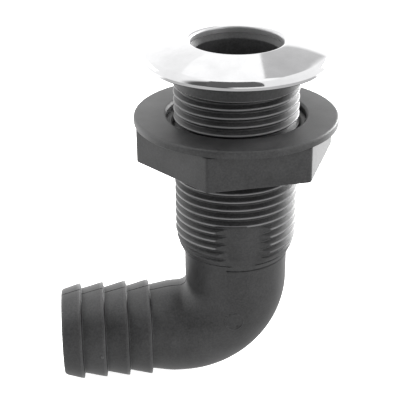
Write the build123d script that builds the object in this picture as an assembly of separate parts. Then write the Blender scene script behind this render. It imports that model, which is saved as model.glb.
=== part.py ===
"""Right-angle thru-hull fitting for 1-1/8 in (28.6 mm) hose.

The frame: the barrel's axis is Z and its origin is in the face that seats on the hull, +Z points
out of the hull through the capped mouth, and the hose tail points along -X. Millimetres.
"""
from build123d import *
from math import cos, pi, radians, sin
import os

# Flange head and its pressed stainless cap
CAP_RADIUS = 27.9
CAP_SHEET = 0.6
HEM_RADIUS = 24.4            # inner edge of the hem that is turned in under the flange
RIM_CORNER = 0.9             # rounding at the foot of the rim
RIM_ROUND = 2.4              # rounding from the rim up to the crown
RIM_ROUND_HEIGHT = 1.1       # height of that rounding's centre
RIM_TANGENT = 21.0           # degrees from upright, where the rounding meets the crown
LIP_RADIUS = 13.8            # clear radius inside the rolled lip
LIP_ROUND = 0.9
LIP_ROUND_HEIGHT = 5.6
LIP_TANGENT = 9.0            # degrees from upright, where the crown meets the lip
LIP_END = 4.4                # height at which the lip's edge ends inside the mouth

# Barrel
COLLAR_RADIUS = 18.98
COLLAR_LENGTH = 6.3
THREAD_RADIUS = 18.93
THREAD_ROOT = 17.4
THREAD_PITCH = 2.64
THREAD_CREST_WIDTH = 0.35
THREAD_FLANK = 30.0          # degrees from the radial direction
THREAD_PHASE = -7.82         # height at which a crest crosses the +X side
THREAD_TURNS_BELOW = 20      # whole turns from there down to the buried lower end
RUNOUT_TOP = -54.9           # the thread's crests run down to the pipe between these two heights
RUNOUT_KNEE = (18.0, -58.5)  # (r, z) where the run-out gets steeper
RUNOUT_END = -62.3
FLAT_OFFSET = 17.45          # the last turns' ridges are cut away past this distance, front and back
FLAT_TOP = -45.6
CORE_END = -59.0             # the threaded core ends here in a small step
CORE_STEP = 0.15

# Elbow
PIPE_RADIUS = 16.2
TAIL_PIPE_RADIUS = 14.85     # the elbow narrows to this towards the tail
BEND_RADIUS = 18.0
TAIL_HEIGHT = -89.85
BEND_TOP = TAIL_HEIGHT + BEND_RADIUS

# Hose tail, measured outwards from the barrel's axis
TAIL_STRAIGHT_END = 21.3
BARB_COUNT = 4
BARB_FIRST = 28.15
BARB_PITCH = 7.27
BARB_CREST = 15.38
BARB_ROOT = 13.7
BARB_LAND = 0.5
TAIL_END = 56.05
TAIL_MOUTH = 13.9
TAIL_EDGE = 0.5              # chamfer on both edges of the open end

# Bore
MOUTH_RADIUS = 13.85
MOUTH_CHAMFER_DEPTH = 1.5
BARREL_BORE = 12.6
TAIL_BORE = 11.7

# Bearing washer and hex nut
WASHER_TOP = -16.06
WASHER_THICKNESS = 2.3
WASHER_RADIUS = 30.9
WASHER_HOLE = 21.0
WASHER_ROUND = 0.8
WASHER_CHAMFER = 0.7
NUT_GAP = 0.15               # running gap between washer and nut
NUT_HEIGHT = 11.0
NUT_ACROSS_FLATS = 53.4
NUT_TURN = 7.1               # degrees from +X to the first corner
NUT_CORNER_ROUND = 1.2
NUT_EDGE_ROUND = 0.6
NUT_ENTRY = 0.85             # how far the lead-in at each end opens past the thread's crests
NUT_ENTRY_DEPTH = 1.5
THREAD_CLEARANCE = 0.25      # between crests and roots
FLANK_CLEARANCE = 0.26       # along the axis, on each side of a ridge
TAP_TURNS_BELOW = 11         # whole turns from THREAD_PHASE down to the tap's lower end
TAP_TURNS = 9


def revolved(profile):
    """Turn a closed (r, z) outline, drawn in the XZ plane, round the Z axis."""
    return revolve(make_face(profile), Axis.Z)


def around(centre, radius, degrees):
    """A point on a circle in (r, z), counted from upright towards the outside."""
    angle = radians(degrees)
    return (centre[0] + radius * sin(angle), centre[1] + radius * cos(angle))


def at_section(points):
    """Place (r, z) points in the XZ plane."""
    return [(r, 0, z) for r, z in points]


def section_arc(centre, radius, start, end):
    """An arc in (r, z) between two angles from upright."""
    middle = (start + end) / 2
    return ThreePointArc(*at_section(around(centre, radius, a) for a in (start, middle, end)))


def cap_skin(inset):
    """The cap's outline from the hem, over the rim and crown, to the lip's edge, moved in by inset."""
    foot = (CAP_RADIUS - RIM_CORNER, RIM_CORNER)
    rim = (CAP_RADIUS - RIM_ROUND, RIM_ROUND_HEIGHT)
    lip = (LIP_RADIUS + LIP_ROUND, LIP_ROUND_HEIGHT)
    foot_radius = RIM_CORNER - inset
    rim_radius = RIM_ROUND - inset
    lip_radius = LIP_ROUND - inset
    crown_start = around(rim, rim_radius, RIM_TANGENT)
    crown_end = around(lip, lip_radius, LIP_TANGENT)
    tangents = [(-cos(radians(a)), 0, sin(radians(a))) for a in (RIM_TANGENT, LIP_TANGENT)]
    return [
        Line(*at_section([(HEM_RADIUS, inset), (foot[0], inset)])),
        section_arc(foot, foot_radius, 180, 90),
        Line(*at_section([(foot[0] + foot_radius, foot[1]), (rim[0] + rim_radius, rim[1])])),
        section_arc(rim, rim_radius, 90, RIM_TANGENT),
        Spline(*at_section([crown_start, crown_end]), tangents=tangents),
        section_arc(lip, lip_radius, LIP_TANGENT, -90),
        Line(*at_section([(lip[0] - lip_radius, lip[1]), (lip[0] - lip_radius, LIP_END)])),
    ]


def make_cap():
    """Thin pressed shell: hem, rim, crown and rolled lip."""
    edges = cap_skin(0) + cap_skin(CAP_SHEET)
    edges.append(Line(*at_section([(HEM_RADIUS, 0), (HEM_RADIUS, CAP_SHEET)])))
    edges.append(Line(*at_section([(LIP_RADIUS, LIP_END), (LIP_RADIUS + CAP_SHEET, LIP_END)])))
    return revolved(edges)


def make_flange():
    """Moulded head that fills the cap, down to the seat on the hull."""
    seat = [
        (LIP_RADIUS + CAP_SHEET, LIP_END),
        (MOUTH_RADIUS, LIP_END),
        (MOUTH_RADIUS, 0),
        (HEM_RADIUS, 0),
        (HEM_RADIUS, CAP_SHEET),
    ]
    return revolved(cap_skin(CAP_SHEET) + [Polyline(*at_section(seat))])


def flank_width(radius, crest_radius, crest_width):
    """Axial width of a thread's ridge at a radius, from its crest and its flank angle."""
    slope = sin(radians(THREAD_FLANK)) / cos(radians(THREAD_FLANK))
    return crest_width + 2 * (crest_radius - radius) * slope


def thread_ridge(base_radius, crest_radius, crest_width, bottom, turns):
    """Right-hand ridge swept up a helix, from a section in the XZ plane at height bottom."""
    height = turns * THREAD_PITCH
    path = Pos(0, 0, bottom) * Helix(pitch=THREAD_PITCH, height=height, radius=base_radius)
    half_base = flank_width(base_radius, crest_radius, crest_width) / 2
    half_crest = crest_width / 2
    corners = [
        (base_radius, bottom - half_base),
        (crest_radius, bottom - half_crest),
        (crest_radius, bottom + half_crest),
        (base_radius, bottom + half_base),
    ]
    section = make_face(Polyline(*at_section(corners), close=True))
    return sweep(section, path=path, is_frenet=True)


def runout_ring():
    """Everything outside the line down which the thread's crests run out."""
    outside = THREAD_RADIUS + 3
    outline = [
        (outside, RUNOUT_TOP),
        (THREAD_RADIUS, RUNOUT_TOP),
        RUNOUT_KNEE,
        (PIPE_RADIUS, RUNOUT_END),
        (PIPE_RADIUS, RUNOUT_END - 3),
        (outside, RUNOUT_END - 3),
    ]
    return revolved(Polyline(*at_section(outline), close=True))


def make_thread():
    """External thread with its conical run-out and the two flats across its last turns."""
    bottom = THREAD_PHASE - THREAD_TURNS_BELOW * THREAD_PITCH
    turns = THREAD_TURNS_BELOW + 1
    ridge = thread_ridge(THREAD_ROOT - 0.5, THREAD_RADIUS, THREAD_CREST_WIDTH, bottom, turns)
    ridge -= runout_ring()
    flat_height = FLAT_TOP - RUNOUT_END
    flat_depth = 10
    for side in (-1, 1):
        place = Pos(0, side * (FLAT_OFFSET + flat_depth / 2), FLAT_TOP - flat_height / 2)
        ridge -= place * Box(3 * THREAD_RADIUS, flat_depth, flat_height)
    return ridge


def tail_outline():
    """(s, r) outline of the tail's outside, from the bend to the open end."""
    outline = [(BEND_RADIUS, TAIL_PIPE_RADIUS), (TAIL_STRAIGHT_END, TAIL_PIPE_RADIUS)]
    for barb in range(BARB_COUNT):
        crest = BARB_FIRST + barb * BARB_PITCH
        outline.append((crest - 0.25, BARB_ROOT))
        outline.append((crest, BARB_CREST))
        outline.append((crest + BARB_LAND, BARB_CREST))
    outline.append((TAIL_END - TAIL_EDGE, TAIL_MOUTH))
    outline.append((TAIL_END, TAIL_MOUTH - TAIL_EDGE))
    return outline


def along_tail(outline):
    """Turn an (s, r) outline round the tail's axis, which points along -X."""
    first, last = outline[0][0], outline[-1][0]
    corners = [(first, 0)] + outline + [(last, 0)]
    points = [(-s, 0, TAIL_HEIGHT + r) for s, r in corners]
    axis = Axis((0, 0, TAIL_HEIGHT), (1, 0, 0))
    return revolve(make_face(Polyline(*points, close=True)), axis)


def quarter_bend(first, last):
    """The elbow's quarter turn, from straight down to pointing along -X, narrowing on the way."""
    centre = (-BEND_RADIUS, 0, BEND_TOP)
    middle = (BEND_RADIUS * (cos(pi / 4) - 1), 0, BEND_TOP - BEND_RADIUS * sin(pi / 4))
    path = ThreePointArc((0, 0, BEND_TOP), middle, (-BEND_RADIUS, 0, TAIL_HEIGHT))
    if first == last:
        return revolve(Pos(0, 0, BEND_TOP) * Circle(first), Axis(centre, (0, 1, 0)), 90)
    start = Plane((0, 0, BEND_TOP), x_dir=(1, 0, 0), z_dir=(0, 0, -1)) * Circle(first)
    end = Plane((-BEND_RADIUS, 0, TAIL_HEIGHT), x_dir=(0, 0, -1), z_dir=(-1, 0, 0)) * Circle(last)
    return sweep([start, end], path=path, multisection=True)


def make_outside():
    """Barrel core, thread, collar, pipe, bend and tail, before the bore."""
    core = [
        (0, 0),
        (THREAD_ROOT, 0),
        (THREAD_ROOT, CORE_END),
        (THREAD_ROOT - CORE_STEP, CORE_END),
        (PIPE_RADIUS, RUNOUT_END),
        (PIPE_RADIUS, BEND_TOP),
        (0, BEND_TOP),
    ]
    threaded = revolved(Polyline(*at_section(core), close=True)) + make_thread()
    collar = Pos(0, 0, -COLLAR_LENGTH / 2) * Cylinder(COLLAR_RADIUS, COLLAR_LENGTH)
    return threaded + collar + quarter_bend(PIPE_RADIUS, TAIL_PIPE_RADIUS) + along_tail(tail_outline())


def make_bore():
    """Waterway from the mouth to the end of the tail."""
    barrel = [
        (0, LIP_END + 1),
        (MOUTH_RADIUS, LIP_END + 1),
        (MOUTH_RADIUS, LIP_END),
        (BARREL_BORE, LIP_END - MOUTH_CHAMFER_DEPTH),
        (BARREL_BORE, RUNOUT_END),
        (TAIL_BORE, BEND_TOP),
        (0, BEND_TOP),
    ]
    tail = [(BEND_RADIUS, TAIL_BORE), (TAIL_END - TAIL_EDGE, TAIL_BORE), (TAIL_END, TAIL_BORE + TAIL_EDGE)]
    return revolved(Polyline(*at_section(barrel), close=True)) + quarter_bend(TAIL_BORE, TAIL_BORE) + along_tail(tail)


def make_elbow_body():
    """The one moulding: flange, collar, threaded barrel, elbow and barbed tail."""
    mouth = Pos(0, 0, LIP_END / 2) * Cylinder(MOUTH_RADIUS + 0.01, LIP_END)
    return make_outside() + (make_flange() + mouth) - make_bore()


def make_washer():
    """Flat ring that bears on the inside of the hull."""
    low = WASHER_TOP - WASHER_THICKNESS
    outline = [
        (WASHER_HOLE, low),
        (WASHER_RADIUS, low),
        (WASHER_RADIUS, WASHER_TOP),
        (WASHER_HOLE + WASHER_CHAMFER, WASHER_TOP),
        (WASHER_HOLE, WASHER_TOP - WASHER_CHAMFER),
    ]
    ring = revolved(Polyline(*at_section(outline), close=True))
    rim = ring.edges().filter_by(GeomType.CIRCLE).sort_by(Axis.Z)[-2:].sort_by(SortBy.RADIUS)[-1]
    return fillet(rim, WASHER_ROUND)


def make_tap():
    """The solid that the nut's thread is cut with: the barrel's thread plus the clearance."""
    bore = THREAD_ROOT + THREAD_CLEARANCE
    crest = THREAD_RADIUS + THREAD_CLEARANCE
    crest_width = THREAD_CREST_WIDTH + 2 * FLANK_CLEARANCE
    bottom = THREAD_PHASE - TAP_TURNS_BELOW * THREAD_PITCH
    ridge = thread_ridge(bore - 0.4, crest, crest_width, bottom, TAP_TURNS)
    shank = Pos(0, 0, bottom + TAP_TURNS * THREAD_PITCH / 2) * Cylinder(bore, (TAP_TURNS + 6) * THREAD_PITCH)
    return shank + ridge


def make_nut():
    """Hex nut with the internal thread that runs on the barrel."""
    top = WASHER_TOP - WASHER_THICKNESS - NUT_GAP
    low = top - NUT_HEIGHT
    corner_radius = NUT_ACROSS_FLATS / 2 / cos(pi / 6)
    outline = fillet(RegularPolygon(corner_radius, 6, rotation=NUT_TURN).vertices(), NUT_CORNER_ROUND)
    block = Pos(0, 0, low) * extrude(outline, NUT_HEIGHT)
    rims = block.edges().group_by(Axis.Z)
    block = fillet(rims[0] + rims[-1], NUT_EDGE_ROUND)
    wide = THREAD_RADIUS + NUT_ENTRY
    narrow = THREAD_ROOT
    for end, inner in ((top, top - NUT_ENTRY_DEPTH), (low, low + NUT_ENTRY_DEPTH)):
        lead = [(0, end), (wide, end), (narrow, inner), (0, inner)]
        block -= revolved(Polyline(*at_section(lead), close=True))
    return block - make_tap()


PARTS = {
    "elbow_body": make_elbow_body,
    "stainless_cap": make_cap,
    "bearing_washer": make_washer,
    "hex_nut": make_nut,
}

os.makedirs("parts", exist_ok=True)
for name, make in PARTS.items():
    shape = make()
    export_step(shape, f"parts/{name}.step")
    print(name, len(shape.solids()), "solid,", round(shape.volume), "mm3")
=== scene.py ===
"""Right-angle thru-hull fitting: detailed meshes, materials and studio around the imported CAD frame.

Lengths in this file are millimetres in the CAD frame, and become metres when a mesh is made.
"""
import bpy
import numpy as np
from math import cos, pi, radians, sin, tan
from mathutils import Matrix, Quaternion, Vector


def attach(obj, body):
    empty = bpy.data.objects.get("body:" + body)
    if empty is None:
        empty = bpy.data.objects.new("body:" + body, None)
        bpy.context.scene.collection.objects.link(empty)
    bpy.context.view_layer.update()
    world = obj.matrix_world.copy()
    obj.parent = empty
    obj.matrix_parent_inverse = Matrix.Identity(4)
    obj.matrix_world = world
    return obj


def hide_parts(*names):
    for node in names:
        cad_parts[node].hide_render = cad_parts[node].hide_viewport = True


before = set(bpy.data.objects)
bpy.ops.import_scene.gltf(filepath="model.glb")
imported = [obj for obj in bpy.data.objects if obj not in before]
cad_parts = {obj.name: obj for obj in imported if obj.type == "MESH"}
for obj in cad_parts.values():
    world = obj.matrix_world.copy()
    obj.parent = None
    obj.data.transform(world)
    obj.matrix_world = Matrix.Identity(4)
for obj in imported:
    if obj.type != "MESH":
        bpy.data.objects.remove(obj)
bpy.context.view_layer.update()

MM = 0.001

# ---------------------------------------------------------------- dimensions, as in the CAD
CAP_RADIUS, CAP_SHEET, HEM_RADIUS = 27.9, 0.6, 24.4
RIM_CORNER, RIM_ROUND, RIM_HEIGHT, RIM_TANGENT = 0.9, 2.4, 1.1, 21.0
LIP_RADIUS, LIP_ROUND, LIP_HEIGHT, LIP_TANGENT, LIP_END = 13.8, 0.9, 5.6, 9.0, 4.4
MOUTH_RADIUS, MOUTH_CHAMFER, BARREL_BORE, TAIL_BORE = 13.85, 1.5, 12.6, 11.7

COLLAR_RADIUS, COLLAR_END = 18.98, -6.3
THREAD_RADIUS, THREAD_ROOT, THREAD_PITCH, THREAD_CREST = 18.93, 17.4, 2.64, 0.35
THREAD_PHASE = -7.82             # height at which a crest crosses the +X side
FLANK_SLOPE = tan(radians(30))
RUNOUT_TOP, RUNOUT_KNEE, RUNOUT_END = -54.9, (18.0, -58.5), -62.3
FLAT_OFFSET, FLAT_TOP = 16.73, -45.6
CORE_END, CORE_STEP = -59.0, 0.15

PIPE_RADIUS, BEND_RADIUS, TAIL_HEIGHT, BEND_TOP = 16.2, 18.0, -89.85, -71.85
TAIL_PIPE_RADIUS = 14.85         # the elbow narrows to this towards the tail
TAIL_STRAIGHT_END, TAIL_END, TAIL_MOUTH, TAIL_EDGE = 21.3, 56.05, 13.9, 0.5
BARB_COUNT, BARB_FIRST, BARB_PITCH = 4, 28.15, 7.27
BARB_CREST, BARB_ROOT, BARB_LAND, BARB_FACE = 15.38, 13.7, 0.5, 0.25

WASHER_TOP, WASHER_THICKNESS, WASHER_RADIUS, WASHER_HOLE = -16.06, 2.3, 30.9, 21.0
NUT_TOP, NUT_HEIGHT, NUT_ACROSS_FLATS, NUT_TURN = -18.51, 11.0, 53.4, 7.1
NUT_CORNER, NUT_EDGE = 1.2, 0.6
NUT_BORE, NUT_GROOVE, NUT_GROOVE_CREST = 17.65, 19.18, 0.87
NUT_ENTRY_RADIUS, NUT_ENTRY_SLOPE = 19.78, 2.38 / 1.5   # lead-in at each end of the hole

# ---------------------------------------------------------------- camera
CAMERA_AIM = (0.002395, -0.005908, -0.042918)
CAMERA_DISTANCE = 0.3255
CAMERA_AZIMUTH = -8.18
CAMERA_PITCH = 25.8          # looking down
CAMERA_FOCAL = 95.36
CAMERA_ROLL = 0.63
CAMERA_SHIFT = -0.1155
CAMERA_SENSOR = 36
CAMERA_CLIP = (0.01, 20)


def make_camera():
    """The camera that frames the fitting from the front, a little to its left and above."""
    a, e = radians(CAMERA_AZIMUTH), radians(CAMERA_PITCH)
    back = Vector((sin(a) * cos(e), -cos(a) * cos(e), sin(e)))
    data = bpy.data.cameras.new("camera")
    camera = bpy.data.objects.new("camera", data)
    bpy.context.scene.collection.objects.link(camera)
    camera.location = Vector(CAMERA_AIM) + back * CAMERA_DISTANCE
    camera.rotation_mode = "QUATERNION"
    roll = Quaternion((0, 0, 1), radians(CAMERA_ROLL))
    camera.rotation_quaternion = (-back).to_track_quat("-Z", "Y") @ roll
    data.lens = CAMERA_FOCAL
    data.sensor_width = CAMERA_SENSOR
    data.shift_x = CAMERA_SHIFT
    data.clip_start, data.clip_end = CAMERA_CLIP
    bpy.context.scene.camera = camera


# ---------------------------------------------------------------- mesh tools
MERGE_SCALE = 2e4                # points that round to the same place at this scale become one
CORNER_SHARE = 0.48              # the most of a run that one rounded corner takes


def skin(name, rows, sharp=35.0):
    """A smooth mesh from rows of points. Rows go round, and coincident points become one vertex."""
    rows = np.asarray(rows, float)
    count, wide = rows.shape[:2]
    keys = np.round(rows.reshape(-1, 3) * MERGE_SCALE).astype(np.int64)
    _, first, index = np.unique(keys, axis=0, return_index=True, return_inverse=True)
    points = rows.reshape(-1, 3)[first] * MM
    index = index.reshape(count, wide)
    quads = np.stack([index[:-1, :-1], index[:-1, 1:], index[1:, 1:], index[1:, :-1]], -1)
    faces = []
    for quad in quads.reshape(-1, 4).tolist():
        face = [v for k, v in enumerate(quad) if v != quad[k - 1]]
        if len(set(face)) == len(face) and len(face) > 2:
            faces.append(face)
    mesh = bpy.data.meshes.new(name)
    mesh.from_pydata(points.tolist(), [], faces)
    mesh.validate()
    mesh.polygons.foreach_set("use_smooth", [True] * len(mesh.polygons))
    mesh.set_sharp_from_angle(angle=radians(sharp))
    piece = bpy.data.objects.new(name, mesh)
    bpy.context.scene.collection.objects.link(piece)
    return piece


def curve(start, here, end, t):
    """A point on the short curve that replaces a corner."""
    return (1 - t) ** 2 * start + 2 * t * (1 - t) * here + t * t * end


def rounded(corners, setbacks, steps=3):
    """Round the corners of an (a, b) outline: each corner gives way to a short curve."""
    corners = [np.asarray(c, float) for c in corners]
    out = [corners[0]]
    for before, here, after, setback in zip(corners, corners[1:], corners[2:], setbacks[1:-1]):
        if setback == 0:
            out.append(here)
            continue
        leave = np.linalg.norm(before - here)
        reach = np.linalg.norm(after - here)
        start = here + (before - here) * min(setback / leave, CORNER_SHARE)
        end = here + (after - here) * min(setback / reach, CORNER_SHARE)
        for t in np.linspace(0, 1, steps + 1):
            out.append(curve(start, here, end, t))
    return np.array(out + [corners[-1]])


def densified(outline, step):
    """More points along an outline, so that none of its runs is longer than step."""
    out = [outline[0]]
    for a, b in zip(outline, outline[1:]):
        pieces = max(1, int(np.ceil(np.linalg.norm(np.subtract(b, a)) / step)))
        out += [np.add(a, np.subtract(b, a) * k / pieces) for k in range(1, pieces + 1)]
    return np.array(out)


def arc(centre, radius, start, end, steps):
    """Points of an arc in (r, z), angles in degrees from upright towards the outside."""
    angles = np.radians(np.linspace(start, end, steps + 1))
    return [(centre[0] + radius * sin(a), centre[1] + radius * cos(a)) for a in angles]


def lathe(outline, angles):
    """Rows of points from an (r, z) outline turned round the Z axis."""
    outline = np.asarray(outline, float)
    r, z = outline[:, :1], outline[:, 1:]
    return np.stack([r * np.cos(angles), r * np.sin(angles), z + 0 * angles], -1)


# ---------------------------------------------------------------- cap
INNER_STEPS = 8                  # steps along each curve of the sheet's inside


def cap_skin(inset, steps):
    """The cap's (r, z) line from the hem over the rim and crown to the lip's edge, moved in by inset."""
    foot = (CAP_RADIUS - RIM_CORNER, RIM_CORNER)
    rim = (CAP_RADIUS - RIM_ROUND, RIM_HEIGHT)
    lip = (LIP_RADIUS + LIP_ROUND, LIP_HEIGHT)
    line = [(HEM_RADIUS, inset)]
    line += arc(foot, RIM_CORNER - inset, 180, 90, 6)
    line += arc(rim, RIM_ROUND - inset, 90, RIM_TANGENT, steps)
    start, end = np.array(line[-1]), np.array(arc(lip, LIP_ROUND - inset, LIP_TANGENT, 0, 1)[0])
    length = np.linalg.norm(end - start)
    pull_out = np.array([-cos(radians(RIM_TANGENT)), sin(radians(RIM_TANGENT))]) * length
    pull_in = np.array([-cos(radians(LIP_TANGENT)), sin(radians(LIP_TANGENT))]) * length
    for t in np.linspace(0, 1, steps + 1)[1:]:
        line.append(
            (2 * t**3 - 3 * t**2 + 1) * start + (t**3 - 2 * t**2 + t) * pull_out
            + (3 * t**2 - 2 * t**3) * end + (t**3 - t**2) * pull_in
        )
    line += arc(lip, LIP_ROUND - inset, LIP_TANGENT, -90, steps)[1:]
    line.append((LIP_RADIUS + inset, LIP_END))
    return [tuple(p) for p in line]


def make_cap():
    """Pressed shell: hem, rim, crown and rolled lip, with the sheet's inside face."""
    outline = cap_skin(0, 20) + cap_skin(CAP_SHEET, INNER_STEPS)[::-1]
    outline.append(outline[0])
    return skin("pressed_cap", lathe(outline, np.linspace(0, 2 * pi, 385)), sharp=40)


# ---------------------------------------------------------------- moulded body
PARTING_STEP = 0.07              # the back half of the moulding stands proud by this much
PARTING_GROOVE = 0.07
PARTING_COLUMNS = (0.18, 0.36)   # degrees from the parting plane to the extra columns beside it
PARTING_REACH = 0.004            # sine of the angle that the groove reaches on each side
SETTLING_PASSES = 8              # enough for a ridge's edge to settle on the limit that it meets
CREST_SOFTENING, ROOT_SOFTENING, SOFTENING_SHARE = 0.10, 0.22, 0.42


def body_angles():
    """Angles of the moulding's columns, with extra ones at both sides of the parting plane."""
    even = np.linspace(0, 360, 361)
    after = [start + d for start in (0, 180) for d in PARTING_COLUMNS]
    before = [end - d for end in (180, 360) for d in PARTING_COLUMNS]
    return np.radians(np.sort(np.concatenate([even, after, before])))


ANGLES = body_angles()


def parting(angles):
    """Radial offset of the moulding's outside: a small step and groove along the parting plane."""
    back_half = np.sin(angles) > PARTING_REACH
    near = np.abs(np.sin(angles)) < PARTING_REACH
    return np.where(near, -PARTING_GROOVE, 0.0) - np.where(back_half, 0.0, PARTING_STEP)


def crest_limit(angle, z):
    """How far out the thread's ridges may reach: full height, the run-out cone, or the flats."""
    heights = [RUNOUT_END, RUNOUT_KNEE[1], RUNOUT_TOP]
    cone = np.interp(z, heights, [PIPE_RADIUS, RUNOUT_KNEE[0], THREAD_RADIUS])
    flat = FLAT_OFFSET / np.maximum(np.abs(np.sin(angle)), 1e-3)
    return np.minimum(cone, np.where(z < FLAT_TOP, flat, THREAD_RADIUS))


def core_radius(z):
    """The thread's root, with the small step and the cone at its lower end."""
    low = THREAD_ROOT - CORE_STEP
    return np.interp(z, [RUNOUT_END, CORE_END, CORE_END + 0.1], [PIPE_RADIUS, low, THREAD_ROOT])


def ridge_edge(centre, side, limit):
    """Where one flank of a ridge reaches limit, as (r, z) for each column."""
    z = centre.copy()
    for _ in range(SETTLING_PASSES):
        reach = limit(z)
        z = centre + side * (THREAD_CREST / 2 + (THREAD_RADIUS - reach) * FLANK_SLOPE)
    return reach, z


def ridge_corners(angles):
    """Corners of every ridge from the top down, each a row of (r, z) along the helix."""
    first = int(np.ceil((COLLAR_END - THREAD_PHASE) / THREAD_PITCH)) + 1
    last = int(np.floor((RUNOUT_END - THREAD_PHASE) / THREAD_PITCH)) - 2
    corners = []
    for turn in range(first, last, -1):
        centre = THREAD_PHASE + THREAD_PITCH * (turn + angles / (2 * pi))
        for side in (1, -1):
            reach, edge_z = ridge_edge(centre, side, lambda z: crest_limit(angles, z))
            base_z = ridge_edge(centre, side, core_radius)[1]
            root = core_radius(base_z)
            gone = reach <= core_radius(edge_z)
            edge = np.stack([np.where(gone, root, reach), np.where(gone, base_z, edge_z)], -1)
            base = np.stack([root, base_z], -1)
            corners += [base, edge] if side == 1 else [edge, base]
    return corners


def thread_rows(angles):
    """Rows that follow the helix, from the collar's foot down to the pipe."""
    corners = ridge_corners(angles)
    rows = []
    for k, (before, here, after) in enumerate(zip(corners, corners[1:], corners[2:]), start=1):
        setback = CREST_SOFTENING if k % 4 in (1, 2) else ROOT_SOFTENING
        leave = np.maximum(np.linalg.norm(before - here, axis=1)[:, None], 1e-9)
        reach = np.maximum(np.linalg.norm(after - here, axis=1)[:, None], 1e-9)
        start = here + (before - here) * np.minimum(setback / leave, SOFTENING_SHARE)
        end = here + (after - here) * np.minimum(setback / reach, SOFTENING_SHARE)
        rows += [curve(start, here, end, t) for t in (0, 0.34, 0.66, 1)]
    rows = np.array(rows)
    out = np.empty_like(rows)
    for column in range(rows.shape[1]):
        r, z = rows[:, column, 0], rows[:, column, 1]
        clipped = np.clip(z, RUNOUT_END, COLLAR_END)
        out[:, column, 0] = np.interp(clipped, z[::-1], r[::-1])
        out[:, column, 1] = clipped
    out[out[:, :, 1] <= RUNOUT_END, 0] = PIPE_RADIUS
    return out


def tail_outline():
    """(s, r) outline of the tail's outside, with softened barb crests."""
    corners = [(BEND_RADIUS, TAIL_PIPE_RADIUS), (TAIL_STRAIGHT_END, TAIL_PIPE_RADIUS)]
    setbacks = [0, 2.0]
    for barb in range(BARB_COUNT):
        crest = BARB_FIRST + barb * BARB_PITCH
        corners += [(crest - BARB_FACE, BARB_ROOT), (crest, BARB_CREST), (crest + BARB_LAND, BARB_CREST)]
        setbacks += [0.3, 0.22, 0.45]
    corners += [(TAIL_END - TAIL_EDGE, TAIL_MOUTH), (TAIL_END, TAIL_MOUTH - TAIL_EDGE)]
    setbacks += [0.35, 0]
    return densified(rounded(corners, setbacks), 0.9)


def bend_rows(first, last, angles, steps):
    """Rows round the elbow's quarter turn, from the barrel towards the tail, narrowing evenly."""
    rows = []
    for b in np.linspace(0, pi / 2, steps + 1):
        radius = first + (last - first) * b / (pi / 2)
        x = -BEND_RADIUS + (BEND_RADIUS + radius * np.cos(angles)) * cos(b)
        z = BEND_TOP - (BEND_RADIUS + radius * np.cos(angles)) * sin(b)
        rows.append(np.stack([x, radius * np.sin(angles), z], -1))
    return np.array(rows)


def tail_rows(outline, angles, offset=0.0):
    """Rows from an (s, r) outline turned round the tail's axis."""
    outline = np.asarray(outline, float)
    s, r = outline[:, :1], outline[:, 1:] + offset
    points = np.broadcast_arrays(-s, r * np.sin(angles), TAIL_HEIGHT - r * np.cos(angles))
    return np.stack(points, -1)


# The ejector pin's ring and dot are placed by angles along and around the bend, and the pip on a barb by
# its distance out and its angle around the tail. Their profiles are (outwards, up) from the surface.
MARK_ALONG, MARK_AROUND, MARK_RADIUS = radians(29), radians(-91), 3.0
MARK_RIDGE = [(-0.22, -0.05), (-0.11, 0.06), (0, 0.1), (0.11, 0.06), (0.22, -0.05)]
DOT_ALONG, DOT_AROUND = radians(32.5), radians(-83.5)
DOT_DOME = [(0, 0.2), (0.15, 0.17), (0.27, 0.08), (0.34, -0.05)]
PIP_PLACE, PIP_AROUND, PIP_BARB = 44.0, radians(-87), 2
PIP_DOME = [(0, 0.32), (0.3, 0.27), (0.52, 0.1), (0.62, -0.06)]


def rings_on_bend(along, around, profile, radius=0.0):
    """Round rows on the bend's outside about a middle, from an (outwards, up) profile."""
    turns = np.linspace(0, 2 * pi, 49)
    taper = (TAIL_PIPE_RADIUS - PIPE_RADIUS) / (pi / 2)
    rows = []
    for out, up in profile:
        b = along + (radius + out) * np.cos(turns) / BEND_RADIUS
        g = around + (radius + out) * np.sin(turns) / (PIPE_RADIUS + taper * along)
        pipe = PIPE_RADIUS + taper * b + up
        reach = BEND_RADIUS + pipe * np.cos(g)
        rows.append(np.stack([reach * np.cos(b) - BEND_RADIUS, pipe * np.sin(g),
                              BEND_TOP - reach * np.sin(b)], -1))
    return rows


def pip_rows():
    """Round rows of the pip on the barb's slope."""
    turns = np.linspace(0, 2 * pi, 25)
    crest = BARB_FIRST + PIP_BARB * BARB_PITCH + BARB_LAND
    slope = (BARB_CREST - BARB_ROOT) / (BARB_PITCH - BARB_LAND - BARB_FACE)
    rows = []
    for out, up in PIP_DOME:
        s = PIP_PLACE + out * np.cos(turns)
        r = BARB_CREST - (s - crest) * slope + up
        g = PIP_AROUND + out * np.sin(turns) / BARB_CREST
        rows.append(np.stack([-s, r * np.sin(g), TAIL_HEIGHT - r * np.cos(g)], -1))
    return rows


def joined(piece, others):
    """Merge other objects into piece."""
    with bpy.context.temp_override(active_object=piece, selected_editable_objects=[piece, *others]):
        bpy.ops.object.join()
    return piece


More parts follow.
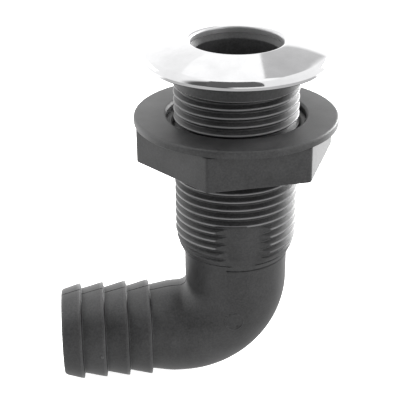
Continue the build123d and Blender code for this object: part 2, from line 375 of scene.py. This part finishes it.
def make_body():
    """The one moulding, inside and outside, with its parting line and its small moulding marks."""
    skin_under_cap = cap_skin(CAP_SHEET, INNER_STEPS)[::-1][1:]
    seam_in_bore = (BARREL_BORE, -2)
    head = [seam_in_bore, (BARREL_BORE, LIP_END - MOUTH_CHAMFER), (MOUTH_RADIUS, LIP_END)]
    head = list(rounded(head, [0, 0.25, 0])) + [(LIP_RADIUS + CAP_SHEET, LIP_END)] + skin_under_cap
    head += [(HEM_RADIUS, 0), (COLLAR_RADIUS + 0.5, 0), (COLLAR_RADIUS, -0.5)]
    head += [(COLLAR_RADIUS, COLLAR_END + 0.25), (COLLAR_RADIUS - 0.25, COLLAR_END)]
    barrel = thread_rows(ANGLES)
    x, y = barrel[..., 0] * np.cos(ANGLES), barrel[..., 0] * np.sin(ANGLES)
    seam = parting(ANGLES)
    rows = [
        lathe(head, ANGLES),
        np.stack([x, y, barrel[..., 1]], -1),
        lathe([(PIPE_RADIUS, RUNOUT_END)], ANGLES),
        bend_rows(PIPE_RADIUS + seam, TAIL_PIPE_RADIUS + seam, ANGLES, 60),
        tail_rows(tail_outline()[1:], ANGLES, seam),
        tail_rows([(TAIL_END, TAIL_BORE + TAIL_EDGE), (TAIL_END - TAIL_EDGE, TAIL_BORE)], ANGLES),
        bend_rows(TAIL_BORE, TAIL_BORE, ANGLES, 40)[::-1],
        lathe([(BARREL_BORE, RUNOUT_END), seam_in_bore], ANGLES),
    ]
    marks = [
        skin("mark_ring", rings_on_bend(MARK_ALONG, MARK_AROUND, MARK_RIDGE, MARK_RADIUS)),
        skin("mark_dot", rings_on_bend(DOT_ALONG, DOT_AROUND, DOT_DOME)),
        skin("barb_pip", pip_rows()),
    ]
    return joined(skin("moulded_body", np.concatenate(rows), sharp=38), marks)


# ---------------------------------------------------------------- washer and nut
WASHER_CHAMFER = 0.7


def make_washer():
    """Flat ring with a well rounded upper rim."""
    low = WASHER_TOP - WASHER_THICKNESS
    corners = [
        (WASHER_HOLE + 3, low), (WASHER_RADIUS, low), (WASHER_RADIUS, WASHER_TOP),
        (WASHER_HOLE + WASHER_CHAMFER, WASHER_TOP), (WASHER_HOLE, WASHER_TOP - WASHER_CHAMFER),
        (WASHER_HOLE, low),
        (WASHER_HOLE + 3, low),
    ]
    outline = rounded(corners, [0, 0.3, 1.0, 0.25, 0.25, 0.2, 0], steps=5)
    return skin("bearing_ring", lathe(outline, np.linspace(0, 2 * pi, 289)), sharp=50)


def hex_outline():
    """Points and outward normals of the rounded hexagon, evenly spread over its flats."""
    points, normals = [], []
    apothem = NUT_ACROSS_FLATS / 2 - NUT_CORNER
    for k in range(6):
        corner = radians(NUT_TURN + 60 * k)
        centre = np.array([cos(corner), sin(corner)]) * apothem / cos(pi / 6)
        for t in np.linspace(-30, 30, 9):
            normal = np.array([cos(corner + radians(t)), sin(corner + radians(t))])
            points.append(centre + NUT_CORNER * normal)
            normals.append(normal)
        following = radians(NUT_TURN + 60 * k + 60)
        after = np.array([cos(following), sin(following)]) * apothem / cos(pi / 6)
        flat = normals[-1]
        for t in np.linspace(0, 1, 40)[1:-1]:
            points.append(centre + (after - centre) * t + NUT_CORNER * flat)
            normals.append(flat)
    points.append(points[0])
    normals.append(normals[0])
    return np.array(points), np.array(normals)


def nut_bore(angles, z):
    """Radius of the nut's threaded hole, with the lead-in at both ends."""
    low = NUT_TOP - NUT_HEIGHT
    turn = (z - THREAD_PHASE) / THREAD_PITCH - angles / (2 * pi)
    away = np.abs(turn - np.round(turn)) * THREAD_PITCH
    groove = NUT_GROOVE - np.maximum(0, away - NUT_GROOVE_CREST / 2) / FLANK_SLOPE
    end = np.minimum(NUT_TOP - z, z - low)
    lead = NUT_ENTRY_RADIUS - end * NUT_ENTRY_SLOPE
    return np.maximum(np.maximum(groove, NUT_BORE), lead)


def make_nut():
    """Hexagon with rounded rims, and the threaded hole through it."""
    points, normals = hex_outline()
    low = NUT_TOP - NUT_HEIGHT
    rows = []

    def ring(inset, z):
        flat = points - inset * normals
        rows.append(np.column_stack([flat, np.full(len(flat), z)]))

    for t in np.linspace(0, 90, 6):
        ring(NUT_EDGE * (1 - sin(radians(t))), NUT_TOP - NUT_EDGE * (1 - cos(radians(t))))
    for t in np.linspace(90, 0, 6):
        ring(NUT_EDGE * (1 - sin(radians(t))), low + NUT_EDGE * (1 - cos(radians(t))))
    angles = np.unwrap(np.arctan2(points[:, 1], points[:, 0]))
    for z in np.linspace(low, NUT_TOP, 90):
        r = nut_bore(angles, z)
        rows.append(np.stack([r * np.cos(angles), r * np.sin(angles), z + 0 * r], -1))
    rows.append(rows[0])
    return skin("hexagon_nut", rows, sharp=38)


# ---------------------------------------------------------------- node tools
def shader(name):
    """A new material, with its node tree and its surface shader."""
    material = bpy.data.materials.new(name)
    material.use_nodes = True
    tree = material.node_tree
    return material, tree, tree.nodes["Principled BSDF"]


def wired(tree, kind, **values):
    """A new node, with inputs set or linked by name or number (i0, i1) and other properties set."""
    node = tree.nodes.new(kind)
    for key, value in values.items():
        if hasattr(node, key) and key not in node.inputs.keys():
            setattr(node, key, value)
            continue
        numbered = key[0] == "i" and key[1:].isdigit()
        socket = node.inputs[int(key[1:])] if numbered else node.inputs[key]
        if isinstance(value, bpy.types.NodeSocket):
            tree.links.new(value, socket)
        else:
            socket.default_value = value
    return node


def noise(tree, place, scale, detail, roughness=0.5):
    """Noise at place, about 0 to 1."""
    node = wired(tree, "ShaderNodeTexNoise", Vector=place, Scale=scale, Detail=detail, Roughness=roughness)
    return node.outputs[0]


def calculated(tree, operation, *values):
    """The result of a Math node on sockets and numbers."""
    inputs = {f"i{k}": value for k, value in enumerate(values)}
    return wired(tree, "ShaderNodeMath", operation=operation, **inputs).outputs[0]


def product(tree, *values):
    """The product of several sockets and numbers."""
    out = values[0]
    for value in values[1:]:
        out = calculated(tree, "MULTIPLY", out, value)
    return out


def mapped(tree, value, start, end, low=0.0, high=1.0, kind="LINEAR"):
    """Value taken from low at start to high at end."""
    node = wired(tree, "ShaderNodeMapRange", Value=value, interpolation_type=kind)
    for key, number in (("From Min", start), ("From Max", end), ("To Min", low), ("To Max", high)):
        node.inputs[key].default_value = number
    return node.outputs[0]


def ramp(tree, value, start, end, low=0.0, high=1.0):
    """A smooth step of a value from low at start to high at end."""
    return mapped(tree, value, start, end, low, high, kind="SMOOTHSTEP")


def toward_level(tree, level, share, goal):
    """Level moved towards goal by share, which is 0 to 1."""
    gap = calculated(tree, "SUBTRACT", goal, level)
    return calculated(tree, "MULTIPLY_ADD", gap, share, level)


def two_tones(tree, value, start, end, dark, light):
    """A colour from dark at start to light at end."""
    node = wired(tree, "ShaderNodeValToRGB", Fac=value)
    for element, position, tone in zip(node.color_ramp.elements, (start, end), (dark, light)):
        element.position = position
        element.color = (*tone, 1)
    return node.outputs[0]


def length_of(tree, **coordinates):
    """The length of a vector with these coordinates."""
    vector = wired(tree, "ShaderNodeCombineXYZ", **coordinates).outputs[0]
    return wired(tree, "ShaderNodeVectorMath", operation="LENGTH", i0=vector).outputs["Value"]


# ---------------------------------------------------------------- materials
# Ridges with a painted highlight along their crests, where they are also glossier, in millimetres: (axis,
# inner radius, crest radius, from, to, share of the painted highlight)
PAINTED_CREST_HIGHLIGHTS = [("Z", 18.6, 18.91, -62, -6, 0.75), ("X", 15.15, 15.36, -57, -24, 0.12)]
# Light grey of the painted crest highlight, and how much less rough the crests are
CREST_HIGHLIGHT_TONE = (0.20, 0.20, 0.203, 1)
CREST_HIGHLIGHT_GLOSS = 0.16
BODY_TONES = (0.004, 0.004, 0.0042), (0.042, 0.042, 0.043)
WASHER_TONES = (0.004, 0.004, 0.0042), (0.045, 0.045, 0.046)
STEEL_TONES = (0.40, 0.40, 0.404), (0.45, 0.45, 0.455)
PLASTIC_ROUGHNESS = (0.42, 0.58)
STEEL_ROUGHNESS = (0.035, 0.11)
LIP_ROUGHNESS = 0.5              # the rolled lip's inside isn't polished
LIP_BAND = (0.35, 0.15)          # from no roughness of that kind to all of it, outwards of the lip


def plastic(name, dark, light, crest_highlights=()):
    """Fine-grained moulded plastic, with a painted highlight along the crests of the listed ridges, which
    are lighter and smoother there.
    """
    material, tree, surface = shader(name)
    place = wired(tree, "ShaderNodeTexCoord").outputs["Object"]
    grain = noise(tree, place, 2600.0, 3.0, 0.6)
    cloud = noise(tree, place, 90.0, 4.0, 0.55)
    speck = noise(tree, place, 1700.0, 2.0, 0.6)
    blend = calculated(tree, "MULTIPLY_ADD", speck, 0.5, product(tree, cloud, 0.5))
    colour = two_tones(tree, blend, 0.30, 0.72, dark, light)
    roughness = mapped(tree, speck, 0.0, 1.0, *PLASTIC_ROUGHNESS)
    for axis, inner, outer, low, high, highlight_share in crest_highlights:
        parts = wired(tree, "ShaderNodeSeparateXYZ", Vector=place).outputs
        if axis == "Z":
            far = length_of(tree, X=parts["X"], Y=parts["Y"])
        else:
            down = calculated(tree, "SUBTRACT", parts["Z"], TAIL_HEIGHT * MM)
            far = length_of(tree, X=down, Y=parts["Y"])
        above = calculated(tree, "GREATER_THAN", parts[axis], low * MM)
        below = calculated(tree, "LESS_THAN", parts[axis], high * MM)
        highlight_mask = product(tree, above, below, mapped(tree, far, inner * MM, outer * MM))
        # Painted highlight: each listed ridge's crest band is mixed towards a light grey
        lighter = wired(tree, "ShaderNodeMix", data_type="RGBA")
        tree.links.new(product(tree, highlight_mask, highlight_share), lighter.inputs["Factor"])
        tree.links.new(colour, lighter.inputs["A"])
        lighter.inputs["B"].default_value = CREST_HIGHLIGHT_TONE
        colour = lighter.outputs["Result"]
        roughness = calculated(tree, "MULTIPLY_ADD", highlight_mask, -CREST_HIGHLIGHT_GLOSS, roughness)
    bump = wired(tree, "ShaderNodeBump", Strength=0.35, Distance=0.00004, Height=grain).outputs[0]
    wave = wired(tree, "ShaderNodeBump", Strength=0.25, Distance=0.0003, Height=cloud, Normal=bump)
    tree.links.new(colour, surface.inputs["Base Color"])
    tree.links.new(roughness, surface.inputs["Roughness"])
    tree.links.new(wave.outputs[0], surface.inputs["Normal"])
    surface.inputs["IOR"].default_value = 1.5
    return material


def steel(name):
    """Polished stainless, with faint polishing marks that run round the cap."""
    material, tree, surface = shader(name)
    place = wired(tree, "ShaderNodeTexCoord").outputs["Object"]
    parts = wired(tree, "ShaderNodeSeparateXYZ", Vector=place).outputs
    far = length_of(tree, X=parts["X"], Y=parts["Y"])
    turned = wired(tree, "ShaderNodeCombineXYZ", X=far, Z=parts["Z"]).outputs[0]
    marks = noise(tree, turned, 5200.0, 3.0)
    haze = noise(tree, place, 160.0, 4.0)
    roughness = mapped(tree, product(tree, marks, haze), 0.1, 0.5, *STEEL_ROUGHNESS)
    inside = ramp(tree, far, *((LIP_RADIUS + band) * MM for band in LIP_BAND))
    roughness = toward_level(tree, roughness, inside, LIP_ROUGHNESS)
    bump = wired(tree, "ShaderNodeBump", Strength=0.05, Distance=0.00002, Height=marks)
    tree.links.new(two_tones(tree, haze, 0.3, 0.7, *STEEL_TONES), surface.inputs["Base Color"])
    tree.links.new(roughness, surface.inputs["Roughness"])
    tree.links.new(bump.outputs[0], surface.inputs["Normal"])
    surface.inputs["Metallic"].default_value = 1.0
    return material


# ---------------------------------------------------------------- studio, in metres
FLOOR_HEIGHT, FLOOR_REACH, FLOOR_GLOW = -0.1058, 4.0, 0.85
BOUNCE_REACH, BOUNCE_DROP = 0.5, 0.0005
BOUNCE_FRONT, BOUNCE_BACK, BOUNCE_BACK_RIGHT = 1.05, 2.4, 4.2
BOUNCE_SHADE, BOUNCE_SHADE_PLACE, BOUNCE_SHADE_EDGE = 0.1, (-0.072, -0.07, 0), (0.030, 0.075)
FLAG_CORNERS = [(-0.5, -0.6, 0.02), (0.26, -0.6, 0.02), (0.18, -0.25, 0.9), (-0.4, -0.25, 0.9)]
FLAG_GLOW = 0.15
WORLD_FRONT, WORLD_BACK, WORLD_TOP = 1.9, 2.0, 2.3
WORLD_PATCH, WORLD_GREY, WORLD_SHADE = 2.25, 1.1, 0.2


def stage_sheet(name, corners, grey, roughness):
    """A flat sheet of the set, which isn't part of the fitting, and its glowing material's parts."""
    mesh = bpy.data.meshes.new(name)
    mesh.from_pydata(corners, [], [(0, 1, 2, 3)])
    sheet = bpy.data.objects.new(name, mesh)
    bpy.context.scene.collection.objects.link(sheet)
    material, tree, surface = shader(name)
    surface.inputs["Base Color"].default_value = (grey, grey, grey, 1)
    surface.inputs["Roughness"].default_value = roughness
    surface.inputs["Emission Color"].default_value = (1, 1, 1, 1)
    mesh.materials.append(material)
    return sheet, tree, surface


def level_square(reach, height):
    """Corners of a level square about the Z axis."""
    sides = [(-1, -1), (1, -1), (1, 1), (-1, 1)]
    return [(x * reach, y * reach, height) for x, y in sides]


def make_floor():
    """White floor that the camera sees."""
    floor, tree, surface = stage_sheet("floor", level_square(FLOOR_REACH, FLOOR_HEIGHT), 0.9, 0.9)
    surface.inputs["Emission Strength"].default_value = FLOOR_GLOW
    floor.visible_diffuse = False
    floor.visible_glossy = False


def make_bounce():
    """Smaller sheet that the camera doesn't see, which lights the fitting from below."""
    corners = level_square(BOUNCE_REACH, FLOOR_HEIGHT - BOUNCE_DROP)
    bounce, tree, surface = stage_sheet("bounce", corners, 0.0, 0.5)
    place = wired(tree, "ShaderNodeTexCoord").outputs["Object"]
    parts = wired(tree, "ShaderNodeSeparateXYZ", Vector=place).outputs
    shade = wired(tree, "ShaderNodeVectorMath", operation="DISTANCE", i0=place, i1=BOUNCE_SHADE_PLACE)
    level = ramp(tree, shade.outputs["Value"], *BOUNCE_SHADE_EDGE, BOUNCE_SHADE, BOUNCE_FRONT)
    behind = ramp(tree, parts["Y"], 0.03, 0.11)
    level = toward_level(tree, level, behind, BOUNCE_BACK)
    on_right = product(tree, behind, ramp(tree, parts["X"], 0.0, 0.08))
    level = toward_level(tree, level, on_right, BOUNCE_BACK_RIGHT)
    tree.links.new(level, surface.inputs["Emission Strength"])
    surface.inputs["Specular IOR Level"].default_value = 0.0
    bounce.visible_camera = False
    bounce.visible_shadow = False


def make_flag():
    """A dark card behind the camera, seen only in the cap's rim."""
    flag, tree, surface = stage_sheet("flag", FLAG_CORNERS, 0.03, 1.0)
    surface.inputs["Emission Strength"].default_value = FLAG_GLOW
    flag.visible_camera = False
    flag.visible_diffuse = False
    flag.visible_shadow = False


def make_world():
    """Soft white studio: a bright background behind, a white and a grey panel high up in it."""
    world = bpy.data.worlds.new("studio")
    world.use_nodes = True
    tree = world.node_tree
    glow = tree.nodes["Background"]
    toward = wired(tree, "ShaderNodeTexCoord").outputs["Generated"]
    parts = wired(tree, "ShaderNodeSeparateXYZ", Vector=toward)
    x, y, z = (parts.outputs[k] for k in "XYZ")
    level = toward_level(tree, WORLD_FRONT, ramp(tree, y, -0.5, 0.1), WORLD_BACK)
    level = toward_level(tree, level, ramp(tree, z, 0.86, 0.94), WORLD_TOP)

    # The panels' slanted edges, as lines in the direction's coordinates
    divide = calculated(tree, "MULTIPLY_ADD", z, -0.12, x)
    left_edge = calculated(tree, "MULTIPLY_ADD", z, 1.16, x)
    low_edge = calculated(tree, "MULTIPLY_ADD", x, 0.45, z)
    behind = product(tree, ramp(tree, y, 0.1, 0.16), ramp(tree, z, 0.90, 0.87))
    patch = product(tree, behind, ramp(tree, divide, 0.126, 0.120), ramp(tree, left_edge, 0.645, 0.66),
                    ramp(tree, z, 0.56, 0.575))
    level = toward_level(tree, level, patch, WORLD_PATCH)
    grey = product(tree, behind, ramp(tree, divide, 0.120, 0.126), ramp(tree, low_edge, 0.48, 0.54),
                   ramp(tree, x, 0.46, 0.42))
    level = toward_level(tree, level, grey, WORLD_GREY)
    shade = product(tree, ramp(tree, x, -0.1, -0.35), ramp(tree, y, -0.2, -0.5))
    level = toward_level(tree, level, shade, WORLD_SHADE)
    tree.links.new(level, glow.inputs["Strength"])
    glow.inputs["Color"].default_value = (1, 1, 1, 1)
    bpy.context.scene.world = world


LIGHT_AIM = (0, 0, -0.04)
LIGHT_DISTANCE = 0.8
LIGHT_SIZE = (0.4, 0.25)


def softbox(name, azimuth, elevation, power):
    """A rectangular light aimed at the fitting's middle. Azimuth 0 is the +X side, 90 the back."""
    a, e = radians(azimuth), radians(elevation)
    toward = Vector((cos(a) * cos(e), sin(a) * cos(e), sin(e)))
    data = bpy.data.lights.new(name, "AREA")
    data.shape = "RECTANGLE"
    data.size, data.size_y = LIGHT_SIZE
    data.energy = power
    lamp = bpy.data.objects.new(name, data)
    lamp.location = Vector(LIGHT_AIM) + toward * LIGHT_DISTANCE
    lamp.rotation_mode = "QUATERNION"
    lamp.rotation_quaternion = (-toward).to_track_quat("-Z", "Y")
    bpy.context.scene.collection.objects.link(lamp)


# ---------------------------------------------------------------- assembly
make_camera()

pieces = {
    "moulded_body": (make_body(), "elbow_body", "body", "moulded_body"),
    "pressed_cap": (make_cap(), "stainless_cap", "body", "polished_steel"),
    "bearing_ring": (make_washer(), "bearing_washer", "washer", "moulded_washer"),
    "hexagon_nut": (make_nut(), "hex_nut", "nut", "moulded_nut"),
}
looks = {
    "moulded_body": plastic("moulded_body", *BODY_TONES, PAINTED_CREST_HIGHLIGHTS),
    "pressed_cap": steel("polished_steel"),
    "bearing_ring": plastic("moulded_washer", *WASHER_TONES),
    "hexagon_nut": plastic("moulded_nut", *BODY_TONES),
}
for name, (piece, node, body, slot) in pieces.items():
    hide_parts(node)
    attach(piece, body)
    piece.data.materials.append(looks[name])

make_floor()
make_bounce()
make_flag()
make_world()
softbox("key_right", azimuth=40, elevation=12, power=8.0)
softbox("fill_left", azimuth=140, elevation=14, power=0.6)
bpy.context.scene.view_settings.view_transform = "Standard"
